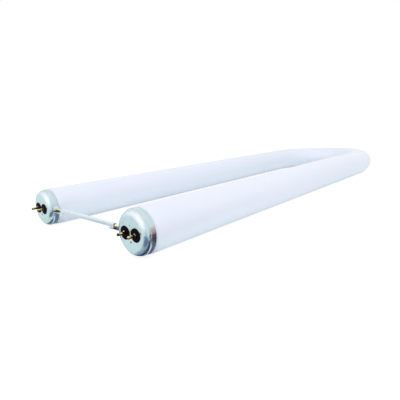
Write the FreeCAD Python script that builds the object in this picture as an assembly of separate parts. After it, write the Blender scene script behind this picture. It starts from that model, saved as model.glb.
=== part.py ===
import FreeCAD, Part
import math
import os

# A U bent fluorescent lamp, lying flat. +X runs from the contact pins to the bend, the two
# legs lie side by side along Y, and +Z is up. The origin is under the middle of the lamp,
# on the surface that it lies on. All sizes are in millimetres.

# The bent tube
overall_length = 571.5        # pin tips to the outside of the bend
leg_spacing = 152.4           # between the centre lines of the legs
tube_diameter = 38.1
bulb_shoulder_radius = 3.2    # where the glass rolls in under the cap
neck_end_rounding = 1.8

# The glass stem that closes each end, open towards the cap
stem_mouth_diameter = 17.0
stem_bore_diameter = 12.0
stem_flare_length = 3.5
stem_depth = 11.4             # from the rim of the glass to the press
exhaust_tip_diameter = 4.4
exhaust_tip_gap = 0.6         # behind the insulators

# The aluminium end caps
cap_depth = 9.5
cap_wall = 0.5
cap_inset = 0.45              # the cap is this much smaller in radius than the tube
cap_step = 0.5                # the skirt stands this far outside the shoulder
cap_step_rounding = 0.3
cap_rim_rounding = 0.15
cap_shoulder_radius = 5.0     # limited by the flat face that the insulators need
face_margin = 0.15            # least flat face outside the insulators' flanges
vent_diameter = 1.0
vent_spacing = 12.8
cement_thickness = 0.75
cement_setback = 0.2          # from the cap's rear rim
crease_gap = 0.15             # from the cap's rear rim to the glass shoulder

# The insulators and the contact pins
pin_pitch = 12.7
pin_length = 7.1              # beyond the face of the cap
pin_diameter = 2.35
pin_bore_diameter = 0.9
pin_tip_wall = 1.1
pin_tip_rounding = 0.7
pin_crimp_setback = 1.5
pin_crimp_width = 0.7
pin_crimp_depth = 0.2
pin_flange_diameter = 3.4
pin_flange_thickness = 0.5
pin_collar_diameter = 3.6
pin_collar_thickness = 0.5
insulator_gap = 0.5           # between the two flanges inside a cap
insulator_rim = 0.7           # flange beyond the boss
insulator_flange_thickness = 1.7
insulator_proud = 0.45        # in front of the cap's face
insulator_chamfer = 0.15
glass_end_gap = 1.9           # from the pins' collars to the rim of the glass

# The lead wires
lead_diameter = 0.6
lead_bend_radius = 4.0
lead_straight = 0.9           # behind the pin, before the wire bends away

# The spacer bar, its brackets and its pins
bar_pin_diameter = 2.0
bar_pin_showing = 11.0        # between the bracket and the bar's end
bar_pin_inserted = 6.0
bar_collar_thickness = 0.5
bar_wall = 0.5
bar_side_clearance = 0.1
bar_top_clearance = 0.3
bar_corner_radius = 0.7
strip_width = 6.0
strip_thickness = 0.8
strip_overhang = 0.7          # behind the cap's rear rim
strip_height = 3.0            # above the bar's centre line
strip_bend_radius = 0.35
strip_under_bar = 5.0         # the bracket's foot, below the bar's end

fit_clearance = 0.05          # round what slips inside something else

# Places and sizes that follow
tube_radius = tube_diameter / 2
bend_radius = leg_spacing / 2
face_x = pin_length - overall_length / 2
bend_x = overall_length / 2 - tube_radius - bend_radius

cap_radius = tube_radius - cap_inset
shoulder_end_radius = cap_radius - cap_step
flange_radius = (pin_pitch - insulator_gap) / 2
boss_radius = flange_radius - insulator_rim
face_needed = pin_pitch / 2 + flange_radius + face_margin
shoulder_radius = min(cap_shoulder_radius, shoulder_end_radius - face_needed)
face_radius = shoulder_end_radius - shoulder_radius

pin_radius = pin_diameter / 2
pin_bore_radius = pin_bore_diameter / 2
insulator_rear = cap_wall + insulator_flange_thickness
pin_rear = insulator_rear + pin_collar_thickness
pin_bore_end = pin_tip_wall - pin_length

neck_radius = cap_radius - cap_wall - cement_thickness
glass_end = pin_rear + glass_end_gap
stem_press = glass_end + stem_depth
crease = cap_depth + crease_gap
stem_bore_radius = stem_bore_diameter / 2
exhaust_radius = exhaust_tip_diameter / 2
stem_lead_offset = (exhaust_radius + stem_bore_radius) / 2

strip_inner_radius = cap_radius + fit_clearance
strip_outer_radius = strip_inner_radius + strip_thickness
strip_middle = cap_depth + strip_overhang - strip_width / 2
bar_bore_depth = bar_pin_diameter + 2 * bar_side_clearance
bar_bore_height = bar_pin_diameter + 2 * bar_top_clearance
bar_height = bar_bore_height + 2 * bar_wall
bar_collar_radius = bar_height / 2 - strip_bend_radius - fit_clearance
bar_end = strip_outer_radius + bar_pin_showing    # from the cap's centre line

# Shapes are first made about a leg's own axis: x is the depth behind the cap's face.
axis_x = FreeCAD.Vector(1, 0, 0)
axis_z = FreeCAD.Vector(0, 0, 1)
origin = FreeCAD.Vector(0, 0, 0)


def at(x, r):
    return FreeCAD.Vector(x, 0, r)


def line(a, b):
    return Part.LineSegment(a, b).toShape()


def arc(a, middle, b):
    return Part.Arc(a, middle, b).toShape()


def quarter(a, b, centre):
    """A quarter turn from a to b about a centre."""
    reach = a.distanceToPoint(centre)
    outward = (a + b) * 0.5 - centre
    return arc(a, centre + outward.normalize() * reach, b)


def turned(edges):
    """The solid that a closed outline in the XZ plane sweeps round the X axis."""
    wire = Part.Wire(Part.__sortEdges__(edges))
    return Part.Face(wire).revolve(origin, axis_x, 360)


def on_leg(shape, side, y=0.0):
    """A copy of a shape made about a leg's axis, moved to the left (1) or right (-1) leg."""
    moved = shape.copy()
    moved.translate(FreeCAD.Vector(face_x, side * leg_spacing / 2 + y, tube_radius))
    return moved


def facing_in(shape, side):
    """A shape made for the right leg, mirrored for the left one so that it faces inwards."""
    if side < 0:
        return shape
    return shape.mirror(origin, FreeCAD.Vector(0, 1, 0))


def save(shape, node):
    shape.exportStep(f"parts/{node}.step")


# The glass: two legs with their stems, and the half ring that joins them

def glass_leg():
    tip = insulator_rear + exhaust_tip_gap
    neck_start = glass_end + neck_end_rounding
    flare_end = glass_end + stem_flare_length
    mouth_radius = stem_mouth_diameter / 2
    shoulder_drop = tube_radius - neck_radius
    rise = bulb_shoulder_radius - shoulder_drop
    shoulder_run = math.sqrt(bulb_shoulder_radius ** 2 - rise ** 2)
    full = crease + shoulder_run
    half_angle = math.acos(rise / bulb_shoulder_radius) / 2
    shoulder_middle = at(full - bulb_shoulder_radius * math.sin(half_angle),
                         tube_radius - bulb_shoulder_radius * (1 - math.cos(half_angle)))
    flare_middle = at(glass_end + stem_flare_length * 0.35,
                      stem_bore_radius + (mouth_radius - stem_bore_radius) * 0.35)
    bend = bend_x - face_x
    return turned([
        quarter(at(tip, 0), at(tip + exhaust_radius, exhaust_radius),
                at(tip + exhaust_radius, 0)),
        line(at(tip + exhaust_radius, exhaust_radius), at(stem_press, exhaust_radius)),
        line(at(stem_press, exhaust_radius), at(stem_press, stem_bore_radius)),
        line(at(stem_press, stem_bore_radius), at(flare_end, stem_bore_radius)),
        arc(at(flare_end, stem_bore_radius), flare_middle, at(glass_end, mouth_radius)),
        line(at(glass_end, mouth_radius), at(glass_end, neck_radius - neck_end_rounding)),
        quarter(at(glass_end, neck_radius - neck_end_rounding), at(neck_start, neck_radius),
                at(neck_start, neck_radius - neck_end_rounding)),
        line(at(neck_start, neck_radius), at(crease, neck_radius)),
        arc(at(crease, neck_radius), shoulder_middle, at(full, tube_radius)),
        line(at(full, tube_radius), at(bend, tube_radius)),
        line(at(bend, tube_radius), at(bend, 0)),
        line(at(bend, 0), at(tip, 0)),
    ])


def glass_bend():
    centre = FreeCAD.Vector(bend_x, -leg_spacing / 2, tube_radius)
    section = Part.Face(Part.Wire(Part.makeCircle(tube_radius, centre, axis_x)))
    return section.revolve(FreeCAD.Vector(bend_x, 0, 0), axis_z, 180)


def glass_tube():
    leg = glass_leg()
    bent = on_leg(leg, 1).fuse([glass_bend(), on_leg(leg, -1)])
    return bent.removeSplitter()


# The drawn cap: flat face, round shoulder, and a skirt one step larger

def end_cap():
    shoulder_centre = at(shoulder_radius, face_radius)
    step_top = at(shoulder_radius, cap_radius - cap_step_rounding)
    skirt_start = at(shoulder_radius + cap_step_rounding, cap_radius)
    rim = cap_depth - cap_rim_rounding
    skirt_inner = cap_radius - cap_wall
    shell = turned([
        line(at(0, 0), at(0, face_radius)),
        quarter(at(0, face_radius), at(shoulder_radius, shoulder_end_radius), shoulder_centre),
        line(at(shoulder_radius, shoulder_end_radius), step_top),
        quarter(step_top, skirt_start, at(skirt_start.x, step_top.z)),
        line(skirt_start, at(rim, cap_radius)),
        quarter(at(rim, cap_radius), at(cap_depth, cap_radius - cap_rim_rounding),
                at(rim, cap_radius - cap_rim_rounding)),
        line(at(cap_depth, cap_radius - cap_rim_rounding), at(cap_depth, skirt_inner)),
        line(at(cap_depth, skirt_inner), at(shoulder_radius + cap_wall, skirt_inner)),
        line(at(shoulder_radius + cap_wall, skirt_inner),
             at(shoulder_radius, shoulder_end_radius - cap_wall)),
        quarter(at(shoulder_radius, shoulder_end_radius - cap_wall), at(cap_wall, face_radius),
                shoulder_centre),
        line(at(cap_wall, face_radius), at(cap_wall, 0)),
        line(at(cap_wall, 0), at(0, 0)),
    ])
    through = 3 * cap_wall
    cuts = []
    for end in (1, -1):
        centre = FreeCAD.Vector(-cap_wall, end * pin_pitch / 2, 0)
        cuts.append(Part.makeCylinder(boss_radius + fit_clearance, through, centre, axis_x))
        centre = FreeCAD.Vector(-cap_wall, 0, end * vent_spacing / 2)
        cuts.append(Part.makeCylinder(vent_diameter / 2, through, centre, axis_x))
    return shell.cut(cuts)


def cap_cement():
    start = max(glass_end + neck_end_rounding, shoulder_radius + cap_wall)
    length = cap_depth - cement_setback - start
    outer = Part.makeCylinder(cap_radius - cap_wall - fit_clearance, length, at(start, 0), axis_x)
    inner = Part.makeCylinder(neck_radius + fit_clearance, length, at(start, 0), axis_x)
    return outer.cut(inner)


# The insulator is put in from inside the cap and is held by its flange.

def insulator():
    front = -insulator_proud
    bore = pin_radius + fit_clearance
    return turned([
        line(at(front, bore), at(front, boss_radius - insulator_chamfer)),
        line(at(front, boss_radius - insulator_chamfer),
             at(front + insulator_chamfer, boss_radius)),
        line(at(front + insulator_chamfer, boss_radius), at(cap_wall, boss_radius)),
        line(at(cap_wall, boss_radius), at(cap_wall, flange_radius)),
        line(at(cap_wall, flange_radius), at(insulator_rear, flange_radius)),
        line(at(insulator_rear, flange_radius), at(insulator_rear, bore)),
        line(at(insulator_rear, bore), at(front, bore)),
    ])


# The contact pin is a brass tube, closed at its tip and riveted over the insulator.

def contact_pin():
    tip = -pin_length
    flange_front = -insulator_proud - pin_flange_thickness
    flange = pin_flange_diameter / 2
    collar = pin_collar_diameter / 2
    crimp_start = tip + pin_crimp_setback
    crimp_end = crimp_start + pin_crimp_width
    crimp_middle = at((crimp_start + crimp_end) / 2, pin_radius - pin_crimp_depth)
    tip_corner = at(tip, pin_radius - pin_tip_rounding)
    return turned([
        line(at(tip, 0), tip_corner),
        quarter(tip_corner, at(tip + pin_tip_rounding, pin_radius),
                at(tip + pin_tip_rounding, pin_radius - pin_tip_rounding)),
        line(at(tip + pin_tip_rounding, pin_radius), at(crimp_start, pin_radius)),
        arc(at(crimp_start, pin_radius), crimp_middle, at(crimp_end, pin_radius)),
        line(at(crimp_end, pin_radius), at(flange_front, pin_radius)),
        line(at(flange_front, pin_radius), at(flange_front, flange)),
        line(at(flange_front, flange), at(-insulator_proud, flange)),
        line(at(-insulator_proud, flange), at(-insulator_proud, pin_radius)),
        line(at(-insulator_proud, pin_radius), at(insulator_rear, pin_radius)),
        line(at(insulator_rear, pin_radius), at(insulator_rear, collar)),
        line(at(insulator_rear, collar), at(pin_rear, collar)),
        line(at(pin_rear, collar), at(pin_rear, pin_bore_radius)),
        line(at(pin_rear, pin_bore_radius), at(pin_bore_end, pin_bore_radius)),
        line(at(pin_bore_end, pin_bore_radius), at(pin_bore_end, 0)),
        line(at(pin_bore_end, 0), at(tip, 0)),
    ])


# The lead wire runs from the press of the stem, bends out to the pin's line and ends
# against the closed end of the pin's bore. It is made in the XY plane.

def lead_wire(end):
    def along(x, y):
        return FreeCAD.Vector(x, end * y, 0)

    points = [along(stem_press, stem_lead_offset),
              along(glass_end + stem_flare_length, stem_lead_offset),
              along(pin_rear + lead_straight, pin_pitch / 2),
              along(pin_bore_end, pin_pitch / 2)]
    edges = []
    start = points[0]
    for before, corner, after in zip(points, points[1:], points[2:]):
        back = (before - corner).normalize()
        ahead = (after - corner).normalize()
        turn = math.pi - back.getAngle(ahead)
        setback = lead_bend_radius * math.tan(turn / 2)
        to_centre = (back + ahead).normalize()
        to_arc = lead_bend_radius / math.cos(turn / 2) - lead_bend_radius
        edges.append(line(start, corner + back * setback))
        edges.append(arc(corner + back * setback, corner + to_centre * to_arc,
                         corner + ahead * setback))
        start = corner + ahead * setback
    edges.append(line(start, points[-1]))
    section = Part.Wire(Part.makeCircle(lead_diameter / 2, points[0], axis_x))
    return Part.Wire(edges).makePipeShell([section], True, False)


# The spacer bar is a box section tube that slips over a pin at each end.

def box_outline(depth, height, corner, y):
    """A closed outline across the bar, with round corners."""
    half_x = depth / 2
    half_z = height / 2
    edges = []
    corners = ((1, 1), (-1, 1), (-1, -1), (1, -1))
    for k in range(4):
        sx, sz = corners[k]
        nx, nz = corners[(k + 1) % 4]
        centre = FreeCAD.Vector(sx * (half_x - corner), y, sz * (half_z - corner))
        on_side = centre + FreeCAD.Vector(sx * corner, 0, 0)
        on_flat = centre + FreeCAD.Vector(0, 0, sz * corner)
        first, last = (on_side, on_flat) if sx * sz > 0 else (on_flat, on_side)
        edges.append(quarter(first, last, centre))
        next_centre = FreeCAD.Vector(nx * (half_x - corner), y, nz * (half_z - corner))
        step = FreeCAD.Vector(nx * corner, 0, 0) if sx * sz < 0 else FreeCAD.Vector(0, 0, nz * corner)
        edges.append(line(last, next_centre + step))
    return Part.Wire(Part.__sortEdges__(edges))


def spacer_bar():
    start = bar_end - leg_spacing / 2
    inner_corner = bar_corner_radius - bar_wall
    outer = Part.Face(box_outline(bar_bore_depth + 2 * bar_wall, bar_height,
                                  bar_corner_radius, start))
    bore = Part.Face(box_outline(bar_bore_depth, bar_bore_height, inner_corner, start))
    bar = outer.cut(bore).extrude(FreeCAD.Vector(0, -2 * start, 0))
    bar.translate(FreeCAD.Vector(face_x + strip_middle, 0, tube_radius))
    return bar


# The bracket is a strip of sheet: it lies round the skirt and folds out below the bar.

def bar_bracket():
    strip_start = strip_middle - strip_width / 2
    foot_top = -bar_height / 2
    foot_bottom = foot_top - strip_thickness
    outer = Part.makeCylinder(strip_outer_radius, strip_width, at(strip_start, 0), axis_x)
    inner = Part.makeCylinder(strip_inner_radius, strip_width, at(strip_start, 0), axis_x)
    window = Part.makeBox(strip_width, strip_outer_radius, strip_height - foot_bottom,
                          at(strip_start, foot_bottom))
    saddle = outer.cut(inner).common(window)
    foot_length = bar_end + strip_under_bar - strip_inner_radius
    foot = Part.makeBox(strip_width, foot_length, strip_thickness,
                        FreeCAD.Vector(strip_start, strip_inner_radius, foot_bottom))
    folded = saddle.fuse(foot).removeSplitter()
    inside = [e for e in folded.Edges
              if abs(e.CenterOfMass.z - foot_top) < 0.01
              and abs(e.Length - strip_width) < 0.01
              and e.CenterOfMass.y < strip_outer_radius]
    folded = folded.makeFillet(strip_bend_radius, inside)
    outside = [e for e in folded.Edges
               if abs(e.CenterOfMass.z - foot_bottom) < 0.01
               and abs(e.Length - strip_width) < 0.01
               and e.CenterOfMass.y < strip_outer_radius]
    folded = folded.makeFillet(strip_bend_radius + strip_thickness / 2, outside)
    hole = Part.makeCylinder(bar_pin_diameter / 2 + fit_clearance, strip_outer_radius,
                             at(strip_middle, 0), FreeCAD.Vector(0, 1, 0))
    return folded.cut(hole)


def bar_pin():
    towards_bar = FreeCAD.Vector(0, 1, 0)
    start = FreeCAD.Vector(strip_middle, strip_inner_radius, 0)
    length = bar_end + bar_pin_inserted - strip_inner_radius
    shank = Part.makeCylinder(bar_pin_diameter / 2, length, start, towards_bar)
    seat = FreeCAD.Vector(strip_middle, strip_outer_radius, 0)
    collar = Part.makeCylinder(bar_collar_radius, bar_collar_thickness, seat, towards_bar)
    return shank.fuse(collar).removeSplitter()


os.makedirs("parts", exist_ok=True)
save(glass_tube(), "glass_tube")
save(spacer_bar(), "spacer_bar")
for side_name, side in (("left", 1), ("right", -1)):
    save(on_leg(end_cap(), side), f"{side_name}_end_cap")
    save(on_leg(cap_cement(), side), f"{side_name}_cap_cement")
    save(on_leg(facing_in(bar_bracket(), side), side), f"{side_name}_bar_bracket")
    save(on_leg(facing_in(bar_pin(), side), side), f"{side_name}_bar_pin")
    for place, end in (("outer", side), ("inner", -side)):
        pin_y = end * pin_pitch / 2
        save(on_leg(insulator(), side, pin_y), f"{side_name}_{place}_insulator")
        save(on_leg(contact_pin(), side, pin_y), f"{side_name}_{place}_contact_pin")
        save(on_leg(lead_wire(end), side), f"{side_name}_{place}_lead_wire")
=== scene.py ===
import bmesh
import bpy
import math
from mathutils import Matrix, Vector


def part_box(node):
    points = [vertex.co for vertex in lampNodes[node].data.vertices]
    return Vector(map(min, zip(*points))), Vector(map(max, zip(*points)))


# A U bent fluorescent lamp lying on a white table. +X runs from the contact pins to the bend,
# +Y from the right leg to the left one, +Z up. Everything is in metres.
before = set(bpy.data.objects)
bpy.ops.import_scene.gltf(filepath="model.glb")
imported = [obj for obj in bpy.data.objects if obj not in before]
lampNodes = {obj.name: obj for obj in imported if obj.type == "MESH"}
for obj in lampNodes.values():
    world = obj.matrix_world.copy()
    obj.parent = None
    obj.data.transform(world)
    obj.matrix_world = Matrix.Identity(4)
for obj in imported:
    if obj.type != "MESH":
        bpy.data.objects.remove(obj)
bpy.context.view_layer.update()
scene = bpy.context.scene
print("frame loaded:", len(lampNodes), "nodes")


# Short ways to build node trees

def plug(tree, socket, value):
    if isinstance(value, bpy.types.NodeSocket):
        tree.links.new(value, socket)
    else:
        socket.default_value = value


def addNode(tree, kind, values=None, **settings):
    made = tree.nodes.new("ShaderNode" + kind)
    for key, value in settings.items():
        setattr(made, key, value)
    for key, value in (values or {}).items():
        plug(tree, made.inputs[key], value)
    return made


def calc(tree, operation, first, second=0.0):
    return addNode(tree, "Math", {0: first, 1: second}, operation=operation).outputs[0]


def blend(tree, factor, first, second):
    mixed = addNode(tree, "Mix", {0: factor, 6: first, 7: second}, data_type="RGBA")
    return mixed.outputs[2]


def remap(tree, value, fromLow, fromHigh, toLow=0.0, toHigh=1.0):
    return addNode(tree, "MapRange", {"Value": value, "From Min": fromLow, "From Max": fromHigh,
                                      "To Min": toLow, "To Max": toHigh}).outputs[0]


# 1 between two edges. Each edge is given as the places where it is still 0 and already 1.
def between(tree, value, rise, fall):
    return calc(tree, "MULTIPLY", remap(tree, value, *rise), remap(tree, value, *fall))


def objectPosition(tree):
    return addNode(tree, "TexCoord").outputs["Object"]


def splitPosition(tree, where):
    return addNode(tree, "SeparateXYZ", {0: where}).outputs


def vectorLength(tree, vector):
    return addNode(tree, "VectorMath", {0: vector}, operation="LENGTH").outputs["Value"]


def addBump(tree, shader, height, strength, distance):
    bump = addNode(tree, "Bump", {"Height": height, "Strength": strength, "Distance": distance})
    tree.links.new(bump.outputs[0], shader.inputs["Normal"])


def showShader(tree, shader, kind="OutputMaterial"):
    output = tree.nodes.new("ShaderNode" + kind)
    tree.links.new(shader, output.inputs["Surface"])


def emptyMaterial(name):
    material = bpy.data.materials.new(name)
    material.use_nodes = True
    material.node_tree.nodes.clear()
    return material, material.node_tree


def newMaterial(name):
    material, tree = emptyMaterial(name)
    shader = tree.nodes.new("ShaderNodeBsdfPrincipled")
    showShader(tree, shader.outputs[0])
    return material, tree, shader


def newGroup(name, takes, gives):
    group = bpy.data.node_groups.new(name, "ShaderNodeTree")
    for label, kind, value in takes:
        socket = group.interface.new_socket(label, in_out="INPUT", socket_type=kind)
        socket.default_value = value
    for label, kind in gives:
        group.interface.new_socket(label, in_out="OUTPUT", socket_type=kind)
    return group, group.nodes.new("NodeGroupInput"), group.nodes.new("NodeGroupOutput")


def useGroup(tree, group, values):
    made = tree.nodes.new("ShaderNodeGroup")
    made.node_tree = group
    for key, value in values.items():
        plug(tree, made.inputs[key], value)
    return made


# Effects that several finishes share

# Soft patches, such as finger marks or an uneven coat
def makeCloudGroup():
    group, takes, gives = newGroup(
        "softPatches",
        (("Position", "NodeSocketVector", (0, 0, 0)), ("Stretch", "NodeSocketVector", (1, 1, 1)),
         ("Scale", "NodeSocketFloat", 40.0), ("Start", "NodeSocketFloat", 0.45),
         ("End", "NodeSocketFloat", 0.65)),
        (("Mask", "NodeSocketFloat"),))
    placed = addNode(group, "VectorMath", {0: takes.outputs["Position"],
                                           1: takes.outputs["Stretch"]}, operation="MULTIPLY")
    cloud = addNode(group, "TexNoise", {"Vector": placed.outputs[0],
                                        "Scale": takes.outputs["Scale"], "Detail": 3.0})
    mask = addNode(group, "MapRange", {"Value": cloud.outputs["Fac"],
                                       "From Min": takes.outputs["Start"],
                                       "From Max": takes.outputs["End"]},
                   interpolation_type="SMOOTHSTEP")
    group.links.new(mask.outputs[0], gives.inputs["Mask"])
    return group


# Fine lines along one way, as drawing, rolling or handling leaves on metal
def makeLineGroup():
    group, takes, gives = newGroup(
        "fineLines",
        (("Position", "NodeSocketVector", (0, 0, 0)), ("Stretch", "NodeSocketVector", (1, 1, 1)),
         ("Scale", "NodeSocketFloat", 900.0)),
        (("Height", "NodeSocketFloat"),))
    placed = addNode(group, "VectorMath", {0: takes.outputs["Position"],
                                           1: takes.outputs["Stretch"]}, operation="MULTIPLY")
    lines = addNode(group, "TexNoise", {"Vector": placed.outputs[0],
                                        "Scale": takes.outputs["Scale"], "Detail": 4.0,
                                        "Roughness": 0.6})
    group.links.new(lines.outputs["Fac"], gives.inputs["Height"])
    return group


# The fine even grain of powder, moulded resin or cement
def makeGrainGroup():
    group, takes, gives = newGroup(
        "fineGrain",
        (("Position", "NodeSocketVector", (0, 0, 0)), ("Scale", "NodeSocketFloat", 2500.0)),
        (("Height", "NodeSocketFloat"),))
    grain = addNode(group, "TexNoise", {"Vector": takes.outputs["Position"],
                                        "Scale": takes.outputs["Scale"], "Detail": 2.0})
    group.links.new(grain.outputs["Fac"], gives.inputs["Height"])
    return group


softPatches = makeCloudGroup()
fineLines = makeLineGroup()
fineGrain = makeGrainGroup()


# The three groups, placed in a material. A finish names its patches by their scale and by the
# noise level at which they start and are full.

def patchMask(tree, where, patches, along=(1, 1, 1)):
    return useGroup(tree, softPatches, {"Position": where, "Stretch": along,
                                        "Scale": patches["scale"], "Start": patches["start"],
                                        "End": patches["full"]}).outputs["Mask"]


def lineHeight(tree, where, along, scale):
    return useGroup(tree, fineLines, {"Position": where, "Stretch": along,
                                      "Scale": scale}).outputs["Height"]


def grainHeight(tree, where, scale):
    return useGroup(tree, fineGrain, {"Position": where, "Scale": scale}).outputs["Height"]


# In a finish, roughness runs from the clean to the marked parts, and bump is the strength and
# depth of the relief.

# The white powder inside the glass, seen through the clear wall. The neck and the stem inside
# the caps are bare glass, painted dark as the shade inside the caps.

capLow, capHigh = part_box("left_end_cap")
capFace, capRear = capLow.x, capHigh.x
capSide, capMiddle = (capLow.y + capHigh.y) / 2, (capLow.z + capHigh.z) / 2
coatedGlass = dict(
    thickCoat=(0.84, 0.87, 0.96, 1), thinCoat=(0.81, 0.85, 0.94, 1),
    thinPatches=dict(scale=9.0, start=0.35, full=0.7), along=(0.25, 1, 1),
    marks=dict(scale=55.0, start=0.5, full=0.75), roughness=(0.34, 0.44),
    clearWall=0.25, clearRoughness=0.2, glassIndex=1.5,
    bareGlassShade=(0.02, 0.025, 0.03, 1), bareFrom=(capRear + 0.0001, capRear - 0.0006),
    grainScale=1800.0, bump=(0.05, 0.00005))


def makeCoatedGlass(style):
    material, tree, shader = newMaterial("coated_glass")
    where = objectPosition(tree)
    thin = patchMask(tree, where, style["thinPatches"], style["along"])
    marks = patchMask(tree, where, style["marks"])
    powder = blend(tree, thin, style["thickCoat"], style["thinCoat"])
    # painted shade: the bare glass inside the caps is coloured near black
    bare = remap(tree, splitPosition(tree, where)["X"], *style["bareFrom"])
    plug(tree, shader.inputs["Base Color"], blend(tree, bare, powder, style["bareGlassShade"]))
    plug(tree, shader.inputs["Roughness"], remap(tree, marks, 0, 1, *style["roughness"]))
    shader.inputs["IOR"].default_value = style["glassIndex"]
    shader.inputs["Coat Weight"].default_value = style["clearWall"]
    shader.inputs["Coat Roughness"].default_value = style["clearRoughness"]
    addBump(tree, shader, grainHeight(tree, where, style["grainScale"]), *style["bump"])
    return material


# Bright drawn aluminium, with a satin face and draw lines along the skirt. The low part of the
# step behind the shoulder carries a painted highlight, a pale and less metallic band, and
# painted shade darkens the rim of the lower vent hole.

capAluminium = dict(
    metal=(0.57, 0.72, 0.75, 1), dulled=(0.50, 0.65, 0.69, 1), dullShare=0.7,
    marks=dict(scale=90.0, start=0.45, full=0.75), roughness=(0.25, 0.34),
    stepHighlight=(0.86, 0.90, 0.95, 1), stepHighlightMetallic=0.2, stepHighlightBelow=(0.0155, 0.0110),
    stepFrom=(capFace + 0.0046, capFace + 0.0049), stepTo=(capFace + 0.0057, capFace + 0.0054),
    ventDrop=0.0064, ventShadeRadius=(0.00095, 0.00060), ventShade=(0.03, 0.04, 0.05, 1),
    along=(0.04, 1, 1), lineScale=1500.0, lineShare=0.02, dentScale=520.0, bump=(1.0, 0.00017))


def makeCapAluminium(style):
    material, tree, shader = newMaterial("cap_aluminium")
    where = objectPosition(tree)
    parts = splitPosition(tree, where)
    marks = patchMask(tree, where, style["marks"])
    dull = calc(tree, "MULTIPLY", marks, style["dullShare"])
    metal = blend(tree, dull, style["metal"], style["dulled"])
    # painted highlight: a pale, less metallic band on the step, only on its low part
    step = calc(tree, "MULTIPLY", between(tree, parts["X"], style["stepFrom"], style["stepTo"]),
                remap(tree, parts["Z"], *style["stepHighlightBelow"]))
    metal = blend(tree, step, metal, style["stepHighlight"])
    # painted shade round the lower vent hole, standing in for the dark inside the hole
    aside = calc(tree, "SUBTRACT", calc(tree, "ABSOLUTE", parts["Y"]), capSide)
    above = calc(tree, "SUBTRACT", parts["Z"], capMiddle - style["ventDrop"])
    fromVent = addNode(tree, "CombineXYZ", {0: aside, 1: above}).outputs[0]
    rim = remap(tree, vectorLength(tree, fromVent), *style["ventShadeRadius"])
    plug(tree, shader.inputs["Base Color"], blend(tree, rim, metal, style["ventShade"]))
    plug(tree, shader.inputs["Metallic"], remap(tree, step, 0, 1, 1.0, style["stepHighlightMetallic"]))
    plug(tree, shader.inputs["Roughness"], remap(tree, marks, 0, 1, *style["roughness"]))
    lines = calc(tree, "MULTIPLY", lineHeight(tree, where, style["along"], style["lineScale"]),
                 style["lineShare"])
    relief = calc(tree, "ADD", lines, grainHeight(tree, where, style["dentScale"]))
    addBump(tree, shader, relief, *style["bump"])
    return material


# Black moulded resin discs round the pins

blackResin = dict(
    resin=(0.003, 0.003, 0.005, 1), dusty=(0.008, 0.007, 0.009, 1),
    dust=dict(scale=400.0, start=0.5, full=0.8), roughness=(0.55, 0.7), gloss=0.02,
    grainScale=3000.0, bump=(0.25, 0.00005))


def makeBlackResin(style):
    material, tree, shader = newMaterial("black_insulator")
    where = objectPosition(tree)
    dust = patchMask(tree, where, style["dust"])
    plug(tree, shader.inputs["Base Color"], blend(tree, dust, style["resin"], style["dusty"]))
    plug(tree, shader.inputs["Roughness"], remap(tree, dust, 0, 1, *style["roughness"]))
    shader.inputs["Specular IOR Level"].default_value = style["gloss"]
    addBump(tree, shader, grainHeight(tree, where, style["grainScale"]), *style["bump"])
    return material


# Brass, on the contact pins and, paler, on the bar's pins. On the contact pins a painted
# reflection of the black disc darkens a band at each root in front of the flange, painted shade
# darkens their undersides, and their tips are darker. Two of them have no darker tips.

pinLow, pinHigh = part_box("left_outer_contact_pin")
pinMiddle = (pinLow.z + pinHigh.z) / 2
pinBrass = dict(
    name="pin_brass", clean=(0.92, 0.73, 0.38, 1), tarnished=(0.16, 0.07, 0.025, 1),
    stains=dict(scale=520.0, start=0.45, full=0.56), roughness=(0.08, 0.18),
    paintedDark=(0.06, 0.025, 0.012, 1), rootFrom=(capFace - 0.0021, capFace - 0.0011),
    rootTo=(capFace - 0.00098, capFace - 0.00110),
    tipFrom=(pinLow.x + 0.0010, pinLow.x + 0.0002),
    underFrom=(pinMiddle + 0.0004, pinMiddle - 0.0003),
    along=(0.06, 1, 1), lineScale=4200.0, bump=(0.15, 0.00003))
brightPinBrass = dict(pinBrass, name="bright_pin_brass", tipFrom=(pinLow.x, pinLow.x - 0.001))
rivetBrass = dict(
    name="rivet_brass", clean=(0.95, 0.86, 0.50, 1), tarnished=(0.62, 0.48, 0.22, 1),
    stains=dict(scale=520.0, start=0.5, full=0.75), roughness=(0.2, 0.34),
    along=(1, 0.06, 1), lineScale=4200.0, bump=(0.15, 0.00003))


def makeBrass(style):
    material, tree, shader = newMaterial(style["name"])
    where = objectPosition(tree)
    stains = patchMask(tree, where, style["stains"])
    metal = blend(tree, stains, style["clean"], style["tarnished"])
    # one dark colour for the painted reflection at the root, the darker tips and the painted
    # shade on the undersides
    if "paintedDark" in style:
        parts = splitPosition(tree, where)
        root = between(tree, parts["X"], style["rootFrom"], style["rootTo"])
        ends = calc(tree, "MAXIMUM", root, remap(tree, parts["X"], *style["tipFrom"]))
        dark = calc(tree, "MAXIMUM", ends, remap(tree, parts["Z"], *style["underFrom"]))
        metal = blend(tree, dark, metal, style["paintedDark"])
    plug(tree, shader.inputs["Base Color"], metal)
    plug(tree, shader.inputs["Roughness"], remap(tree, stains, 0, 1, *style["roughness"]))
    shader.inputs["Metallic"].default_value = 1.0
    addBump(tree, shader, lineHeight(tree, where, style["along"], style["lineScale"]),
            *style["bump"])
    return material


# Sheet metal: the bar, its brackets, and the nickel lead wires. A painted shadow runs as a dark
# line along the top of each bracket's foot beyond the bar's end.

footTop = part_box("spacer_bar")[0].z         # the bar lies on the brackets' feet
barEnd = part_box("spacer_bar")[1].y
dullPatches = dict(scale=260.0, start=0.45, full=0.75)
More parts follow.
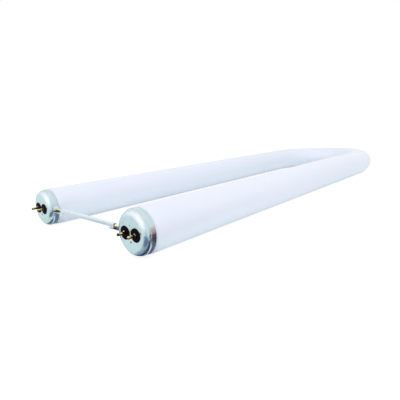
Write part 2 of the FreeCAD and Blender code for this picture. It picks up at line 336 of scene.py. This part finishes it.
barMetal = dict(
    name="bar_metal", clean=(0.72, 0.82, 0.85, 1), dulled=(0.66, 0.77, 0.80, 1),
    roughness=(0.38, 0.46), metallic=0.45,
    along=(1, 0.03, 1), lineScale=1600.0, bump=(0.05, 0.00003))
bracketMetal = dict(
    name="bracket_metal", clean=(0.82, 0.90, 0.93, 1), dulled=(0.66, 0.76, 0.82, 1),
    roughness=(0.20, 0.30), metallic=0.5, creaseShadow=(0.008, 0.012, 0.03, 1),
    creaseShadowFrom=(footTop - 0.0002, footTop - 0.0001), creaseShadowTo=(footTop + 0.0006, footTop + 0.0003),
    creaseShadowLeft=(barEnd + 0.0022, barEnd + 0.0034), creaseShadowRight=(-barEnd + 0.0006, -barEnd - 0.0006),
    along=(0.05, 1, 1), lineScale=2600.0, bump=(0.12, 0.00003))
leadMetal = dict(
    name="lead_wire", clean=(0.66, 0.64, 0.58, 1), dulled=(0.5, 0.46, 0.38, 1),
    roughness=(0.3, 0.4), metallic=1.0,
    along=(0.1, 1, 1), lineScale=5000.0, bump=(0.15, 0.00003))


def makeSheetMetal(style):
    material, tree, shader = newMaterial(style["name"])
    where = objectPosition(tree)
    dull = patchMask(tree, where, dullPatches)
    metal = blend(tree, dull, style["clean"], style["dulled"])
    # painted shadow in the crease on the foot's top beyond the bar's end
    if "creaseShadow" in style:
        parts = splitPosition(tree, where)
        beyond = calc(tree, "MAXIMUM", remap(tree, parts["Y"], *style["creaseShadowLeft"]),
                      remap(tree, parts["Y"], *style["creaseShadowRight"]))
        crease = between(tree, parts["Z"], style["creaseShadowFrom"], style["creaseShadowTo"])
        crease = calc(tree, "MULTIPLY", crease, beyond)
        metal = blend(tree, crease, metal, style["creaseShadow"])
    plug(tree, shader.inputs["Base Color"], metal)
    plug(tree, shader.inputs["Roughness"], remap(tree, dull, 0, 1, *style["roughness"]))
    shader.inputs["Metallic"].default_value = style["metallic"]
    addBump(tree, shader, lineHeight(tree, where, style["along"], style["lineScale"]),
            *style["bump"])
    return material


# The cement between cap and glass

basingCement = dict(
    dry=(0.52, 0.45, 0.36, 1), baked=(0.36, 0.27, 0.18, 1),
    bakedPatches=dict(scale=350.0, start=0.45, full=0.65), roughness=0.9,
    grainScale=1600.0, bump=(0.6, 0.0002))


def makeBasingCement(style):
    material, tree, shader = newMaterial("basing_cement")
    where = objectPosition(tree)
    baked = patchMask(tree, where, style["bakedPatches"])
    plug(tree, shader.inputs["Base Color"], blend(tree, baked, style["dry"], style["baked"]))
    shader.inputs["Roughness"].default_value = style["roughness"]
    addBump(tree, shader, grainHeight(tree, where, style["grainScale"]), *style["bump"])
    return material


# Each finish goes to the nodes whose names end with its key, and a later key overrules.

brightBrass = makeBrass(brightPinBrass)
finishes = {
    "glass_tube": makeCoatedGlass(coatedGlass),
    "spacer_bar": makeSheetMetal(barMetal),
    "end_cap": makeCapAluminium(capAluminium),
    "cap_cement": makeBasingCement(basingCement),
    "bar_bracket": makeSheetMetal(bracketMetal),
    "bar_pin": makeBrass(rivetBrass),
    "insulator": makeBlackResin(blackResin),
    "contact_pin": makeBrass(pinBrass),
    "right_outer_contact_pin": brightBrass,
    "left_inner_contact_pin": brightBrass,
    "lead_wire": makeSheetMetal(leadMetal),
}
for name, node in lampNodes.items():
    for ending, finish in finishes.items():
        if name.endswith(ending):
            for slot in node.material_slots:
                slot.material = finish
print("finishes made")


# What stands round the lamp: flat sheets, and a way to turn cards, lights and the camera

def makeSheet(name, half):
    build = bmesh.new()
    bmesh.ops.create_grid(build, x_segments=1, y_segments=1, size=half)
    mesh = bpy.data.meshes.new(name)
    build.to_mesh(mesh)
    build.free()
    sheet = bpy.data.objects.new(name, mesh)
    scene.collection.objects.link(sheet)
    return sheet


def faceTowards(place, aim):
    way = Vector(aim) - Vector(place)
    return way.to_track_quat("-Z", "Y").to_matrix().to_4x4()


# 1 for rays from the camera, off gloss or through glass, which see the white background
def seenStraight(tree):
    path = addNode(tree, "LightPath")
    seen = calc(tree, "MAXIMUM", path.outputs["Is Camera Ray"], path.outputs["Is Glossy Ray"])
    return calc(tree, "MAXIMUM", seen, path.outputs["Is Transmission Ray"])


# The white table, which fades to plain white away from the lamp and gives it a little light
# from below

table = dict(size=6.0, surface=(0.83, 0.90, 0.90, 1), whiteShare=0.62, shadowLift=1.30,
             fadeStart=0.5, fadeEnd=1.2, lightBelow=0.08)


def makeTable(style):
    floor = makeSheet("table", style["size"] / 2)
    material, tree = emptyMaterial("table_white")
    plain = addNode(tree, "BsdfDiffuse", {"Color": style["surface"]}).outputs[0]
    below = addNode(tree, "Emission", {"Color": style["surface"],
                                       "Strength": style["lightBelow"]}).outputs[0]
    lit = addNode(tree, "AddShader", {0: plain, 1: below}).outputs[0]
    path = addNode(tree, "LightPath")
    strength = remap(tree, path.outputs["Is Camera Ray"], 0, 1, 1.0, style["shadowLift"])
    white = addNode(tree, "Emission", {"Strength": strength}).outputs[0]
    away = vectorLength(tree, objectPosition(tree))
    fade = remap(tree, away, style["fadeStart"], style["fadeEnd"], style["whiteShare"], 1.0)
    factor = calc(tree, "MULTIPLY", seenStraight(tree), fade)
    showShader(tree, addNode(tree, "MixShader", {0: factor, 1: lit, 2: white}).outputs[0])
    floor.data.materials.append(material)


makeTable(table)

# Cards that only reflections see, as a studio's cards give bright metal its dark and bright
# parts. The dark ones lie on the table under and beside the caps. A blue and a pink one stand
# low in front of them, and two bright ones stand high beyond the pins. Each fades out to its
# edge, and its colour runs from start to end along its length. Darker spots lie on the patchy
# ones.
cardSpots = dict(scale=5.0, start=0.46, full=0.60)
spotTint = (0.4, 0.46, 0.58)
cardDefaults = dict(strength=1.0, patchy=0.0)
reflectionCards = {
    "near_shoulder_card": dict(place=(-0.3230, -0.1330, 0.0005), turn=47.0,
                               half=(0.074, 0.044), fade=0.6, patchy=1.0,
                               start=(0.48, 0.62, 0.81, 1), end=(0.09, 0.15, 0.30, 1)),
    "near_front_card": dict(place=(-0.2803, -0.0840, 0.0006), turn=105.0,
                            half=(0.012, 0.0056), fade=0.5, patchy=1.0,
                            start=(0.40, 0.50, 0.68, 1), end=(0.50, 0.60, 0.78, 1)),
    "near_edge_card": dict(place=(-0.2715, -0.1080, 0.0007), turn=-85.0,
                           half=(0.050, 0.0068), fade=0.6, patchy=0.4,
                           start=(0.04, 0.055, 0.10, 1), end=(0.07, 0.10, 0.18, 1)),
    "near_skirt_card": dict(place=(-0.2420, -0.1280, 0.0008), turn=-56.0,
                            half=(0.040, 0.017), fade=0.6, patchy=0.5,
                            start=(0.05, 0.02, 0.035, 1), end=(0.12, 0.055, 0.055, 1)),
    "near_blush_card": dict(place=(-0.1600, -0.2500, 0.0005), turn=-56.0,
                            half=(0.175, 0.090), fade=0.8,
                            start=(0.12, 0.07, 0.08, 1), end=(0.40, 0.22, 0.25, 1)),
    "near_under_card": dict(place=(-0.2625, -0.0950, 0.0006), turn=-66.0,
                            half=(0.024, 0.006), fade=0.6, patchy=0.6,
                            start=(0.14, 0.16, 0.26, 1), end=(0.24, 0.21, 0.30, 1)),
    "far_shoulder_card": dict(place=(-0.2910, 0.0160, 0.0005), turn=-80.0,
                              half=(0.058, 0.022), fade=0.8, patchy=0.7,
                              start=(0.10, 0.15, 0.25, 1), end=(0.14, 0.21, 0.34, 1)),
    "far_skirt_card": dict(place=(-0.2570, 0.0380, 0.0006), turn=-67.0,
                           half=(0.044, 0.012), fade=0.7, patchy=0.5,
                           start=(0.24, 0.30, 0.39, 1), end=(0.11, 0.13, 0.19, 1)),
    "far_edge_card": dict(place=(-0.2755, 0.0680, 0.0006), turn=90.0,
                          half=(0.012, 0.0033), fade=0.6,
                          start=(0.01, 0.02, 0.07, 1), end=(0.01, 0.02, 0.06, 1)),
    "low_blue_card": dict(place=(-0.640, -0.440, 0.030), aim=(-0.28, 0.0, 0.02),
                          half=(0.30, 0.075), fade=0.2, start=(0.42, 0.58, 0.80, 1)),
    "low_blush_card": dict(place=(0.13, -0.58, 0.070), aim=(-0.27, -0.095, 0.02),
                           half=(0.34, 0.15), fade=0.5, start=(0.80, 0.38, 0.38, 1)),
    "white_card": dict(place=(-1.20, -0.22, 0.70), aim=(-0.28, -0.02, 0.02),
                       half=(0.70, 0.60), fade=0.0, start=(0.99, 0.96, 1.0, 1), strength=1.85),
    "bright_card": dict(place=(-1.21, 0.17, 0.80), aim=(-0.28, -0.02, 0.02),
                        half=(3.20, 2.80), fade=0.0, start=(1.0, 0.82, 0.86, 1), strength=1.58),
}


def makeReflectionCard(name, style):
    card = makeSheet(name, 1.0)
    if "aim" in style:
        facing = faceTowards(style["place"], style["aim"])
    else:
        facing = Matrix.Rotation(math.radians(style["turn"]), 4, "Z")
    card.matrix_world = (Matrix.Translation(style["place"]) @ facing
                         @ Matrix.Diagonal((*style["half"], 1, 1)))
    card.visible_camera = False
    card.visible_diffuse = False
    card.visible_transmission = False
    card.visible_shadow = False
    material, tree = emptyMaterial(name)
    where = objectPosition(tree)
    along = remap(tree, splitPosition(tree, where)["X"], -1.0, 1.0)
    tone = blend(tree, along, style["start"], style.get("end", style["start"]))
    darker = addNode(tree, "VectorMath", {0: tone, 1: spotTint}, operation="MULTIPLY").outputs[0]
    spots = calc(tree, "MULTIPLY", patchMask(tree, where, cardSpots), style["patchy"])
    tone = blend(tree, spots, tone, darker)
    solid = addNode(tree, "MapRange", {"Value": vectorLength(tree, where), "From Min": 1.0,
                                       "From Max": style["fade"]},
                    interpolation_type="SMOOTHSTEP").outputs[0]
    clear = addNode(tree, "BsdfTransparent").outputs[0]
    shown = addNode(tree, "Emission", {"Color": tone, "Strength": style["strength"]}).outputs[0]
    showShader(tree, addNode(tree, "MixShader", {0: solid, 1: clear, 2: shown}).outputs[0])
    card.data.materials.append(material)


for name, style in reflectionCards.items():
    makeReflectionCard(name, {**cardDefaults, **style})

# Even light from all round, a soft box overhead, and a larger one far out on the camera's side

skyLight = dict(colour=(0.96, 0.97, 1.0, 1), strength=0.75)
softBoxes = {
    "overhead_box": dict(place=(-0.35, -0.10, 1.2), aim=(-0.05, 0.0, 0.0), size=1.1, power=4.35,
                         colour=(1.0, 1.0, 1.0)),
    "side_box": dict(place=(-0.30, -2.20, 1.10), aim=(-0.05, 0.0, 0.02), size=1.6, power=5.3,
                     colour=(1.0, 0.97, 0.98)),
}

world = bpy.data.worlds.new("studio")
scene.world = world
world.use_nodes = True
tree = world.node_tree
tree.nodes.clear()
around = addNode(tree, "Background", {"Color": skyLight["colour"],
                                      "Strength": skyLight["strength"]}).outputs[0]
white = addNode(tree, "Background", {"Color": (1, 1, 1, 1), "Strength": 1.0}).outputs[0]
mixed = addNode(tree, "MixShader", {0: seenStraight(tree), 1: around, 2: white}).outputs[0]
showShader(tree, mixed, "OutputWorld")

for name, box in softBoxes.items():
    lamp = bpy.data.lights.new(name, "AREA")
    lamp.shape = "SQUARE"
    lamp.size = box["size"]
    lamp.energy = box["power"]
    lamp.color = box["colour"]
    holder = bpy.data.objects.new(name, lamp)
    holder.matrix_world = (Matrix.Translation(box["place"])
                           @ faceTowards(box["place"], box["aim"]))
    holder.visible_glossy = False
    scene.collection.objects.link(holder)
print("table and lights set")

# The camera stands low in front of the contact pins, turned a little anticlockwise.
view = dict(place=(-0.4190, -0.2800, 0.0943), aim=(-0.1658, -0.0420, 0.0190),
            roll=-2.94, lens=30.98, sensor=36.0, nearest=0.01)
camera = bpy.data.cameras.new("photo_view")
camera.lens = view["lens"]
camera.sensor_width = view["sensor"]
camera.clip_start = view["nearest"]
holder = bpy.data.objects.new("photo_view", camera)
holder.matrix_world = (Matrix.Translation(view["place"])
                       @ faceTowards(view["place"], view["aim"])
                       @ Matrix.Rotation(math.radians(view["roll"]), 4, "Z"))
scene.collection.objects.link(holder)
scene.camera = holder
scene.view_settings.view_transform = "Standard"
print("camera set")
